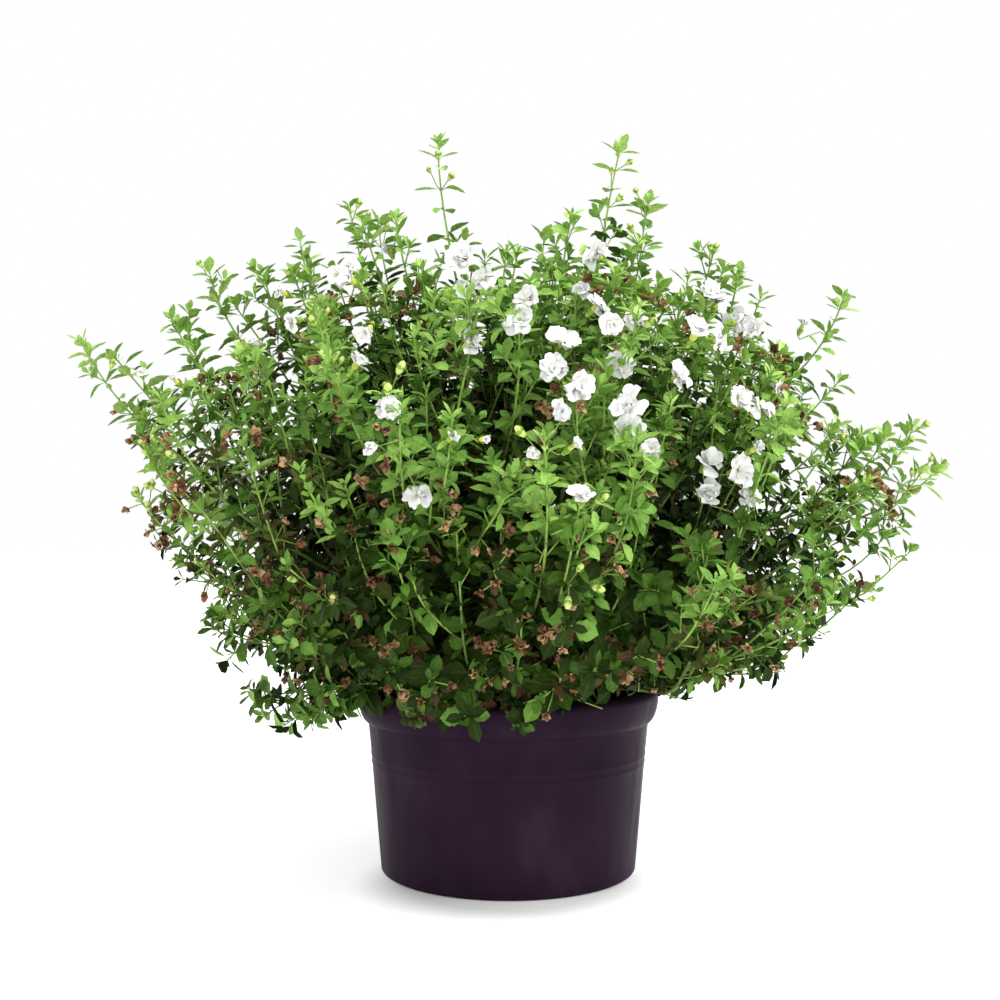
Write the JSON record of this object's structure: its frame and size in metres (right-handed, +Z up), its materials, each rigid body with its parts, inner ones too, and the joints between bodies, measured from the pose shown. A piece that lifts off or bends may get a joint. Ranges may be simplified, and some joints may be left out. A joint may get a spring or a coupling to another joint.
{
  "type": "potted bacopa",
  "caption": "Bushy bacopa with double white flowers in a low round growing pot, its thin stems fanned out on all sides and hung over the rim.",
  "frame": {"origin": "centre of the pot's flat underside, on the surface that the pot stands on", "axes": "+Z up through the middle of the pot and the woody foot, -Y towards the front, +X to the right seen from the front"},
  "size_m": [0.5673, 0.5401, 0.4675],
  "materials": {
    "pot": "dark aubergine moulded plastic, semi-matte",
    "peat": "moist dark peat with crumbs and fibres",
    "woody_foot": "rough old bark",
    "green_bark": "thin stems, brown-green and half woody",
    "foliage": "small toothed green leaves, matte",
    "green_stems": "thin soft green shoots and flower stalks, matte",
    "petals": "soft white petals, matte and faintly veined",
    "buds": "pale yellow-green buds and flower throats, matte",
    "dry_flowers": "tan, papery spent flowers with a darker middle"
  },
  "bodies": {
    "root": {"pot": "pot", "peat": "peat", "foot": "woody_foot", "bough_flank_1": "green_bark", "bough_flank_2": "green_bark", "bough_flank_3": "green_bark", "bough_flank_4": "green_bark", "bough_flank_5": "green_bark", "bough_flank_6": "green_bark", "bough_flank_7": "green_bark", "bough_flank_8": "green_bark", "bough_shoulder_1": "green_bark", "bough_shoulder_2": "green_bark", "bough_shoulder_3": "green_bark", "bough_shoulder_4": "green_bark", "bough_shoulder_5": "green_bark", "bough_shoulder_6": "green_bark", "bough_shoulder_7": "green_bark", "bough_upper_1": "green_bark", "bough_upper_2": "green_bark", "bough_upper_3": "green_bark", "bough_upper_4": "green_bark", "bough_upper_5": "green_bark", "bough_top_1": "green_bark", "bough_top_2": "green_bark", "skirt_1": "foliage", "skirt_2": "foliage", "skirt_3": "foliage", "skirt_4": "foliage", "skirt_5": "foliage", "skirt_6": "foliage", "skirt_7": "foliage", "skirt_8": "foliage", "flank_1": "foliage", "flank_2": "foliage", "flank_3": "foliage", "flank_4": "foliage", "flank_5": "foliage", "flank_6": "foliage", "flank_7": "foliage", "flank_8": "foliage", "shoulder_1": "foliage", "shoulder_2": "foliage", "shoulder_3": "foliage", "shoulder_4": "foliage", "shoulder_5": "foliage", "shoulder_6": "foliage", "shoulder_7": "foliage", "upper_1": "foliage", "upper_2": "foliage", "upper_3": "foliage", "upper_4": "foliage", "upper_5": "foliage", "top_1": "foliage", "top_2": "foliage"}
  },
  "joints": []
}
